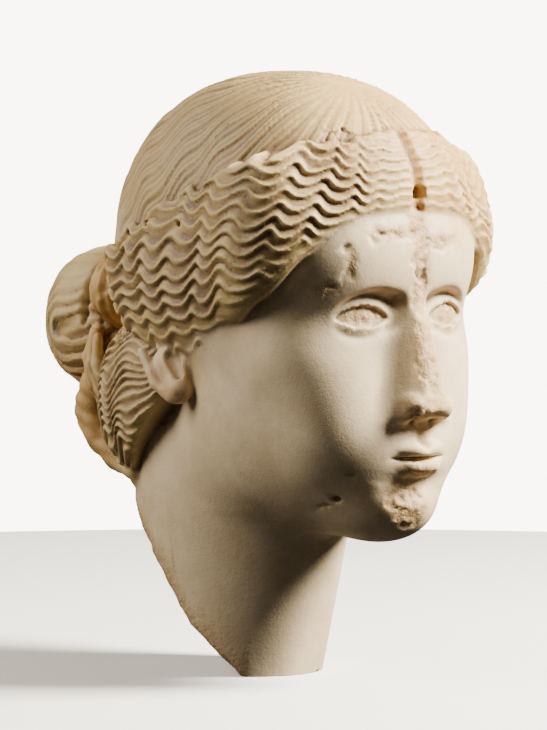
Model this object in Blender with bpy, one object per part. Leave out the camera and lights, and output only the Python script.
"""A marble head of a goddess, broken off at the neck, that stands on the flat underside of the neck.

The head is one block of stone. Its form is put together from rounded lumps, as clay is, and locks of
hair are ripples added to the lumps. A form is a function that tells how far a point is from its
surface. The block is a mesh laid over the places where that distance is nothing.

Every size is a share of HEIGHT. The numbers below are millimetres of a head 360 mm tall.
X is to the figure's own left, the face looks along -Y, and Z is up. The origin is on the underside.
"""

import bmesh
import bpy
import numpy as np

HEIGHT = 0.36  # underside to crown, in metres
DESIGN_HEIGHT = 360.0
MM = HEIGHT / DESIGN_HEIGHT

# How fine the solid is
CELL = 2.3
SOFTENING_ROUNDS = 3
KEPT_TRIANGLES = 9900
STONE_COLOUR = (0.70, 0.58, 0.42, 1.0)
STONE_ROUGHNESS = 0.62


# Forms: each takes points, one a row, and gives their distance from a surface, negative inside it.


def ellipsoid(points, centre, radii, plan=2.0, rise=2.0):
    """plan and rise are 2 for a round plan and side view, and more for boxy ones."""
    q = np.abs((points - centre) / radii)
    flat = (q[:, 0] ** plan + q[:, 1] ** plan) ** (1 / plan)
    reach = (flat ** rise + q[:, 2] ** rise) ** (1 / rise)
    slope = np.linalg.norm(q / radii, axis=1)
    return reach * (reach - 1) / np.maximum(slope, 1e-9)


def limb(points, start, end, start_radius, end_radius):
    """A tapering rod with round ends."""
    start = np.array(start, float)
    along = np.array(end, float) - start
    t = np.clip((points - start) @ along / (along @ along), 0, 1)
    away = np.linalg.norm(points - start - t[:, None] * along, axis=1)
    return away - start_radius - (end_radius - start_radius) * t


def slab(points, on_it, normal):
    """All that lies behind a plane."""
    normal = np.array(normal, float) / np.linalg.norm(normal)
    return (points - np.array(on_it, float)) @ normal


def join(a, b, soft):
    """The two forms as one, with a fillet about as wide as soft."""
    h = np.clip(0.5 + 0.5 * (b - a) / soft, 0, 1)
    return b * (1 - h) + a * h - soft * h * (1 - h)


def carve(a, b, soft):
    """The first form with the second taken out of it."""
    return -join(-a, b, soft)


def mirrored(points):
    """The same points folded on to the figure's left half, so that a form made once is made twice."""
    return np.column_stack([np.abs(points[:, 0]), points[:, 1:]])


def ridge(lane):
    """Round-backed ridges side by side, one to each whole step of lane, 1 high."""
    return (0.5 - 0.5 * np.cos(2 * np.pi * lane)) ** 0.75


def curve(stations):
    """A smooth curve through (angle in degrees, height) stations, told as a table."""
    angles, heights = np.array(stations, float).T
    fine = np.linspace(0, np.pi, 181)
    bell = np.hanning(23)
    padded = np.pad(np.interp(fine, np.radians(angles), heights), 11, mode="edge")
    return fine, np.convolve(padded, bell / bell.sum(), "valid")


# The face: a calm, regular one of no person, with the proportions that textbooks give


def skull_and_jaw(p):
    half = mirrored(p)
    form = ellipsoid(p, (0, -6, 250), (82, 113, 98), 2.6)
    form = join(form, ellipsoid(p, (0, -54, 252), (71, 69, 60), 2.5), 14)
    form = join(form, ellipsoid(p, (0, -42, 184), (71, 75, 90), 2.3), 16)
    form = join(form, ellipsoid(p, (0, -48, 140), (57, 64, 51), 2.2), 20)
    form = join(form, ellipsoid(half, (44, -72, 192), (25, 26, 24)), 20)
    form = join(form, ellipsoid(half, (31, -86, 160), (27, 26, 40)), 20)
    form = join(form, ellipsoid(half, (39, -14, 148), (20, 38, 36)), 24)
    return join(form, ellipsoid(p, (0, -92, 108), (30, 30, 23)), 20)


EYE = np.array([32.0, -95.5, 216.0])
EYE_TURN = 0.26


def at_eye(p):
    """Points told from the middle of an eye, with its outer corner turned back round the face."""
    told = mirrored(p) - EYE
    told[:, 1] -= EYE_TURN * told[:, 0]
    return told


def eye(p):
    told = at_eye(p)
    ball = ellipsoid(told, (0, 0, 0), (20, 15.5, 16))
    lids = ellipsoid(told, (0, 0, 0), (23.5, 18.8, 19.5))
    upper = np.hypot(told[:, 0], told[:, 2] + 18.4) - 25.4
    lower = np.hypot(told[:, 0], told[:, 2] - 28.4) - 33.4
    return join(ball, carve(lids, np.maximum(upper, lower), 1.4), 0.8)


def eye_socket(p):
    told = at_eye(p)
    told[:, 2] += 0.14 * told[:, 0]
    arch = ellipsoid(told, (-1, -36, 1.0), (29, 29, 17.5))
    return join(arch, ellipsoid(told, (-19, -28, -1), (9, 21, 12)), 6)


NOSE_TOP, NOSE_TIP = np.array([-121.0, 234.0]), np.array([-143.0, 167.0])
NOSE_SLANT = 1.5


def nose(p):
    """A wedge with a rounded ridge, wider towards its tip, and two wings."""
    t = np.clip((NOSE_TOP[1] - p[:, 2]) / (NOSE_TOP[1] - NOSE_TIP[1]), -0.5, 1.3)
    width = 5.5 + 2.5 * t
    front = NOSE_TOP[0] + (NOSE_TIP[0] - NOSE_TOP[0]) * t
    back = NOSE_SLANT * (np.hypot(p[:, 0], width) - width)
    form = (front + back - p[:, 1]) / np.hypot(1, 0.8 * NOSE_SLANT)
    form = carve(form, slab(p, (0, -130, 158), (0, 0.25, 1)), 6)
    form = carve(form, -slab(p, (0, -130, 244), (0, 0, 1)), 12)
    form = carve(form, slab(p, (0, -96, 200), (0, -1, 0)), 3)
    wings = ellipsoid(mirrored(p), (10.8, -126, 165), (6.4, 12, 8))
    return carve(join(form, wings, 4), ellipsoid(mirrored(p), (7.5, -128, 156), (3.4, 7, 4.5)), 1.5)


MOUTH = np.array([0.0, -122.0, 135.5])
MOUTH_CURVE = 60.0


def mouth(form, p):
    """The lips, on a form that has none. They bend round the teeth."""
    form = join(form, ellipsoid(p, (0, -94, 141), (36, 30, 31)), 16)
    told = p - MOUTH
    told[:, 1] -= told[:, 0] ** 2 / MOUTH_CURVE
    bow = told.copy()
    bow[:, 2] += 1.8 * np.exp(-(told[:, 0] / 4.5) ** 2) - 0.5
    form = join(form, ellipsoid(bow, (0, 1.5, 4.6), (24, 9.5, 6.4)), 1.6)
    form = join(form, ellipsoid(told, (0, 1.5, -6.2), (18, 9.5, 7.2)), 2.2)
    form = carve(form, ellipsoid(told, (0, -8.5, -0.2), (21, 9, 1.5)), 1.4)
    form = carve(form, ellipsoid(told, (0, -9, 13), (3.0, 8, 7)), 4)
    return carve(form, ellipsoid(told, (0, -9, -16.5), (19, 10, 5)), 9)


FACE_BACK = -40.0
FACE_TOP = 250.0
BROKEN_NOSE = (0, -133.5, 196), (0, -1, 0.16)


def ear(p):
    """Only its lower part shows under the hair: the rim, the hollow in front of it, and the lobe."""
    half = mirrored(p)
    form = ellipsoid(half, (66, 22, 182), (8, 17, 15))
    form = join(form, ellipsoid(half, (69, 12, 171.5), (7.5, 10, 9)), 4)
    rim = join(limb(half, (73, 41, 192), (74, 27, 174), 3.4, 3.6), limb(half, (74, 27, 174), (71, 15, 167), 3.6, 4.2), 2)
    form = join(form, rim, 2)
    return carve(form, limb(half, (72, 16, 192), (72, 9, 180), 6.5, 3.0), 1.5)


NECK_TOP = 176.0
NECK_CENTRE_BELOW = np.array([-4.0, 30.0])
NECK_CENTRE_ABOVE = np.array([0.0, 35.0])
NECK_RADII_BELOW = np.array([45.5, 50.0])
NECK_RADII_ABOVE = np.array([60.0, 74.0])
NECK_FLARE_TOP = 100.0
UNDERCUT = 8.0


def neck(p):
    t = np.clip(p[:, 2] / NECK_FLARE_TOP, 0, 1)[:, None]
    centre = NECK_CENTRE_BELOW + (NECK_CENTRE_ABOVE - NECK_CENTRE_BELOW) * t
    radii = NECK_RADII_BELOW + (NECK_RADII_ABOVE - NECK_RADII_BELOW) * t
    round_it = (np.linalg.norm((p[:, :2] - centre) / radii, axis=1) - 1) * radii.min(axis=1)
    form = carve(round_it, -slab(p, (0, 0, NECK_TOP), (0, 0, 1)), 60)
    return carve(form, -slab(p, (0, 0, -UNDERCUT), (0, 0, -1)), 4)


# The stone lost with the bust: two flat breaks across the left and back of the neck
BREAKS = (((-51.8, 43.5, 54.8), (-0.676, 0.568, -0.469)), ((-19.7, 16.5, 2), (-0.538, 0.451, -0.712)))


def skin(p):
    """The bare head and neck. Features are only worked out near the face."""
    form = skull_and_jaw(p)
    face = (p[:, 1] < FACE_BACK) & (p[:, 2] < FACE_TOP)
    q = p[face]
    front = mouth(form[face], q)
    front = carve(front, eye_socket(q), 2.5)
    front = join(front, eye(q), 2)
    form[face] = carve(join(front, nose(q), 5), -slab(q, *BROKEN_NOSE), 1.5)
    form = join(form, ear(p), 3)
    form = join(form, neck(p), 16)
    for plane in BREAKS:
        form = carve(form, -slab(p, *plane), 3)
    return form


# The hair

HAIR_CENTRE = np.array([0.0, -8.0, 254.0])
CAP_RADII = np.array([84.0, 117.0, 104.8])
BAND_RADII = np.array([86.0, 120.0, 101.0])
HAIRLINE = curve(((0, 277), (25, 273), (45, 251), (65, 213), (90, 188), (112, 187), (150, 195), (180, 196)))
LEDGE = curve(((0, 326), (35, 319), (68, 304), (95, 281), (125, 258), (150, 246), (180, 244)))
FIRST_ROW = curve(((0, 283), (70, 283), (110, 277), (180, 262)))
PITCH = curve(((0, 5.4), (15, 5.6), (45, 7.2), (70, 8.4), (95, 9.4), (180, 9.8)))
WAVES = curve(((0, 0), (30, 3.1), (50, 4.9), (80, 7.2), (100, 8.5), (120, 9.7), (180, 13)))
SWAY = curve(((0, 0.2), (12, 0.7), (30, 2.0), (60, 2.7), (180, 3.0)))
BAND_RELIEF = 0.45
BAND_OUT = 0.08
PARTING, PARTING_DEPTH = 5.0, 2.5
SHARE_OF_SWAY = 0.7  # of a lock's waves that its neighbours at the hairline follow
LEDGE_STEEPNESS = 0.7
CAP_PLAN, CAP_RISE = 2.4, 2.2
LIFT, LIFT_HEIGHT, LIFT_REACH = 3.0, 285.0, 15.0  # how the band stands out over the cap near its ledge
CAP_LOCKS = 20
CAP_RELIEF = 2.2
CAP_SWAY = 0.15
CROWN, GATHER = np.array([-60.0, 347.0]), np.array([108.0, 150.0])


def round_head(p):
    """How far round the head each point is: 0 over the nose, pi over the bun."""
    flat = (p - HAIR_CENTRE) / CAP_RADII
    return np.arctan2(np.abs(flat[:, 0]), -flat[:, 1])


def band(p):
    """The crimped locks that sweep from the parting over the ears to the bun."""
    turn = round_head(p)
    first, pitch = np.interp(turn, *FIRST_ROW), np.interp(turn, *PITCH)
    row = (p[:, 2] - first) / pitch
    wave = 2 * np.pi * np.interp(turn, *WAVES) + 0.4 * row
    sway = np.interp(turn, *SWAY) * (np.cos(wave) + 0.25 * np.cos(2 * wave))
    lane = row - sway / pitch
    half = mirrored(p)
    form = join(ellipsoid(p, HAIR_CENTRE, BAND_RADII, 2.6), ellipsoid(half, (61, -63, 264), (34.5, 37.5, 58)), 16)
    lift = LIFT * np.clip((p[:, 2] - LIFT_HEIGHT) / LIFT_REACH, -1, 1)
    form = join(form, ellipsoid(p, HAIR_CENTRE, CAP_RADII, CAP_PLAN, CAP_RISE) - lift, 4)
    crease = np.clip(np.abs(p[:, 0]) / PARTING, 0, 1)
    form = form - BAND_RELIEF * pitch * (ridge(lane) * crease - BAND_OUT) - PARTING_DEPTH * (crease - 1)
    form = carve(form, p[:, 2] - np.interp(turn, *HAIRLINE) - SHARE_OF_SWAY * sway, 5)
    step = lane + 0.9 * np.sin(2 * np.pi * lane) / (2 * np.pi)
    return carve(form, LEDGE_STEEPNESS * (np.interp(turn, *LEDGE) - first - step * pitch), 2.5)


def cap(p):
    """The long strands drawn back over the crown, like lines from pole to pole of a globe."""
    along = (GATHER - CROWN) / np.linalg.norm(GATHER - CROWN)
    told = p[:, 1:] - CROWN
    up = told[:, 1] * along[0] - told[:, 0] * along[1]
    lane = CAP_LOCKS * np.arctan2(p[:, 0], up) / np.pi
    lane += CAP_SWAY * np.sin(2 * np.pi * (told @ along) / 36 + 0.3 * lane)
    depth = CAP_RELIEF * np.clip(np.hypot(p[:, 0], up) / 30, 0, 1)
    form = ellipsoid(p, HAIR_CENTRE, CAP_RADII, CAP_PLAN, CAP_RISE) - depth * (ridge(lane) - 0.5)
    return carve(form, p[:, 2] - np.interp(round_head(p), *HAIRLINE) - 30, 5)


BUN = np.array([0.0, 147.0, 207.0])
BUN_RADII = np.array([51.0, 52.0, 46.5])
BUN_PITCH = 9.0
BUN_RELIEF = 3.0
BUN_EYE = (47, 154, 202), (44, 122, 208)
TIE, TIE_RADII = (0, 110, 226), (55, 24, 32)
NAPE_PITCH = 9.0
NAPE_RELIEF = 3.6


def bun(p):
    """A roll of hair across the nape. At each end its strands wind round a long eye."""
    half = mirrored(p)
    lane = limb(half, *BUN_EYE, 0, 0) / BUN_PITCH
    form = ellipsoid(p - BUN, (0, 0, 0), BUN_RADII, 2.0, 2.35) - BUN_RELIEF * (ridge(lane) - 0.45)
    return carve(form, limb(half, (54, 155, 202), (54, 138, 206), 6.5, 4.5), 3)


def nape(p):
    """Looser hair under the band, in small waves drawn back to the tie."""
    half = mirrored(p)
    form = ellipsoid(half, (18, 62, 162), (56, 60, 60))
    wave = 2 * np.pi * (p[:, 1] - 0.3 * p[:, 2]) / 36 - 1.2
    lane = (p[:, 2] + 0.32 * p[:, 1] + 3 * np.sin(wave)) / NAPE_PITCH
    form = form - NAPE_RELIEF * (ridge(lane) - 0.5)
    return carve(form, slab(p, (0, 22, 178), (0, 0.77, 0.636)), 4)


LOOP = ((-30, 118, 182), (-35, 135, 168), (-36, 140, 152), (-34, 134, 137), (-31, 121, 124), (-29, 100, 114))
LOOP_WIDTHS = (9, 10, 10, 9, 8, 6)
INNER_LOCK = ((-40, 112, 165), (-44, 108, 148), (-42, 100, 132), (-36, 92, 116))
INNER_LOCK_WIDTHS = (6.5, 7, 7, 5)
OUTER_LOCK = ((-46, 119, 202), (-52, 119, 184), (-50, 112, 166), (-52, 99, 157), (-55, 86, 154))
OUTER_LOCK_WIDTHS = (5, 5.5, 5, 4.5, 4)


def hanging(p, places, widths):
    """A lock that has slipped out of the tie and hangs below it."""
    parts = [limb(p, *two) for two in zip(places, places[1:], widths, widths[1:])]
    form = parts[0]
    for part in parts[1:]:
        form = join(form, part, 3)
    return form


def head(p):
    form = skin(p)
    hair = p[:, 2] > 90
    q = p[hair]
    locks = join(cap(q), band(q), 2)
    locks = join(locks, nape(q), 3)
    locks = join(locks, ellipsoid(q, TIE, TIE_RADII), 3)
    locks = join(locks, bun(q), 3)
    locks = np.minimum(locks, hanging(q, LOOP, LOOP_WIDTHS))
    locks = np.minimum(locks, hanging(q, INNER_LOCK, INNER_LOCK_WIDTHS))
    locks = np.minimum(locks, hanging(q, OUTER_LOCK, OUTER_LOCK_WIDTHS))
    form[hair] = join(form[hair], locks, 1.5)
    return form


# How far past a coarse sample a form may still turn, in coarse steps
COARSE = 6
BAND = 1.9


def sampled(form, low, counts, cell):
    """A form's distances on a grid. Only points near the surface are worked out one by one."""
    counts = [COARSE * -(-n // COARSE) for n in counts]
    coarse = [low[i] + cell * (np.arange(0, counts[i], COARSE) + (COARSE - 1) / 2) for i in range(3)]
    mesh = np.stack(np.meshgrid(*coarse, indexing="ij"), axis=-1)
    rough = form(mesh.reshape(-1, 3)).reshape(mesh.shape[:3])
    values = rough.repeat(COARSE, 0).repeat(COARSE, 1).repeat(COARSE, 2)
    near = np.argwhere(np.abs(values) < COARSE * cell * BAND)
    values[tuple(near.T)] = form(low + cell * near)
    return values


def reached(free, start):
    """The free cells of a grid that can be walked to from the start cells, face to face."""
    found = free & start
    count = -1
    while count != found.sum():
        count = found.sum()
        for axis in range(3):
            line, way = np.moveaxis(found, axis, 0), np.moveaxis(free, axis, 0)
            for i in range(1, len(line)):
                line[i] |= line[i - 1] & way[i]
            for i in range(len(line) - 2, -1, -1):
                line[i] |= line[i + 1] & way[i]
    return found


def corners_met(inside):
    """Empty cells to fill, so that stone never meets stone along an edge only."""
    fill = np.zeros_like(inside)
    for axis in range(3):
        solid, new = np.moveaxis(inside, axis, 0), np.moveaxis(fill, axis, 0)
        a, b, c, d = solid[:, :-1, :-1], solid[:, 1:, :-1], solid[:, :-1, 1:], solid[:, 1:, 1:]
        new[:, 1:, :-1] |= a & d & ~b & ~c
        new[:, :-1, :-1] |= b & c & ~a & ~d
    return fill


def one_block(values, cell):
    """The same distances with bubbles in the stone and pinched gaps filled in, and loose crumbs left out."""
    values[(values < 0) & ~reached(values < 0, values == values.min())] = cell / 2
    rim = np.zeros(values.shape, bool)
    rim[:, :, -1] = True
    fill = np.ones_like(rim)
    while fill.any():
        values[corners_met(values < 0)] = -cell / 2
        fill = (values >= 0) & ~reached(values >= 0, rim)
        values[fill] = -cell / 2
        fill |= corners_met(values < 0)
    return values


def skin_mesh(form, low, high, cell):
    """A closed mesh of a form: one point in each grid cell that the surface crosses, joined in quads."""
    low = np.array(low, float)
    counts = [int((h - l) / cell) + 2 for l, h in zip(low, high)]
    values = one_block(sampled(form, low, counts, cell), cell)
    shape = np.array(values.shape)
    strides = np.array([shape[1] * shape[2], shape[2], 1])
    owners, crossings, quads = [], [], []
    for axis in range(3):
        first = np.take(values, range(shape[axis] - 1), axis)
        second = np.take(values, range(1, shape[axis]), axis)
        crossed = np.argwhere((first < 0) != (second < 0))
        a, b = first[tuple(crossed.T)], second[tuple(crossed.T)]
        where = crossed.astype(float)
        where[:, axis] += a / (a - b)
        u, v = strides[(axis + 1) % 3], strides[(axis + 2) % 3]
        corner = crossed @ strides
        around = np.stack([corner, corner - u, corner - u - v, corner - v], axis=1)
        owners.append(around.ravel())
        crossings.append(np.repeat(where, 4, axis=0))
        quads.append(np.where((a < 0)[:, None], around[:, ::-1], around)[:, ::-1])
    owners, crossings = np.concatenate(owners), np.concatenate(crossings)
    cells, index, count = np.unique(owners, return_inverse=True, return_counts=True)
    middle = np.stack([np.bincount(index, crossings[:, i]) / count for i in range(3)], axis=1)
    return low + cell * middle, np.searchsorted(cells, np.concatenate(quads))


LOWEST, HIGHEST = (-112, -160, -14), (112, 208, 368)
FOOT = np.array([9.8, 16.2, 0.0])


def add_object(name, points, faces):
    mesh = bpy.data.meshes.new(name)
    mesh.from_pydata(points, [], faces)
    mesh.update()
    made = bpy.data.objects.new(name, mesh)
    bpy.context.scene.collection.objects.link(made)
    return made


def stone():
    material = bpy.data.materials.new("marble")
    material.use_nodes = True
    shader = material.node_tree.nodes["Principled BSDF"]
    shader.inputs["Base Color"].default_value = STONE_COLOUR
    shader.inputs["Roughness"].default_value = STONE_ROUGHNESS
    material.diffuse_color = STONE_COLOUR
    return material


def thinned(block):
    """Smooths the block and makes it of fewer triangles, large where it is plain and small in the hair."""
    softening = block.modifiers.new("softening", "SMOOTH")
    softening.factor = 0.5
    softening.iterations = SOFTENING_ROUNDS
    thinning = block.modifiers.new("thinning", "DECIMATE")
    thinning.ratio = KEPT_TRIANGLES / (2 * len(block.data.polygons))
    thinning.use_collapse_triangulate = True
    depsgraph = bpy.context.evaluated_depsgraph_get()
    block.data = bpy.data.meshes.new_from_object(block.evaluated_get(depsgraph))
    block.modifiers.clear()


def unpinch(mesh):
    """Closes the places where thinning has pressed two surfaces together along an edge."""
    shape = bmesh.new()
    shape.from_mesh(mesh)
    pinched = [edge for edge in shape.edges if len(edge.link_faces) > 2]
    while pinched:
        bmesh.ops.collapse(shape, edges=pinched)
        pinched = [edge for edge in shape.edges if len(edge.link_faces) > 2]
    shape.to_mesh(mesh)
    shape.free()


def main():
    for old in list(bpy.data.objects):
        bpy.data.objects.remove(old)
    points, faces = skin_mesh(head, LOWEST, HIGHEST, CELL)
    block = add_object("marble_head", ((points - FOOT) * MM).tolist(), faces.tolist())
    block.data.materials.append(stone())
    thinned(block)
    unpinch(block.data)

    wide, deep = HEIGHT, 2 * UNDERCUT * MM
    corners = [(x, y, z) for x in (-wide, wide) for y in (-wide, wide) for z in (-deep, 0)]
    sides = [(0, 1, 3, 2), (4, 6, 7, 5), (0, 4, 5, 1), (2, 3, 7, 6), (0, 2, 6, 4), (1, 5, 7, 3)]
    cutter = add_object("underside_cutter", corners, sides)
    cutter.hide_render = True
    cutter.display_type = "WIRE"
    underside = block.modifiers.new("underside", "BOOLEAN")
    underside.operation = "DIFFERENCE"
    underside.solver = "EXACT"
    underside.object = cutter


if __name__ == "__main__":
    main()
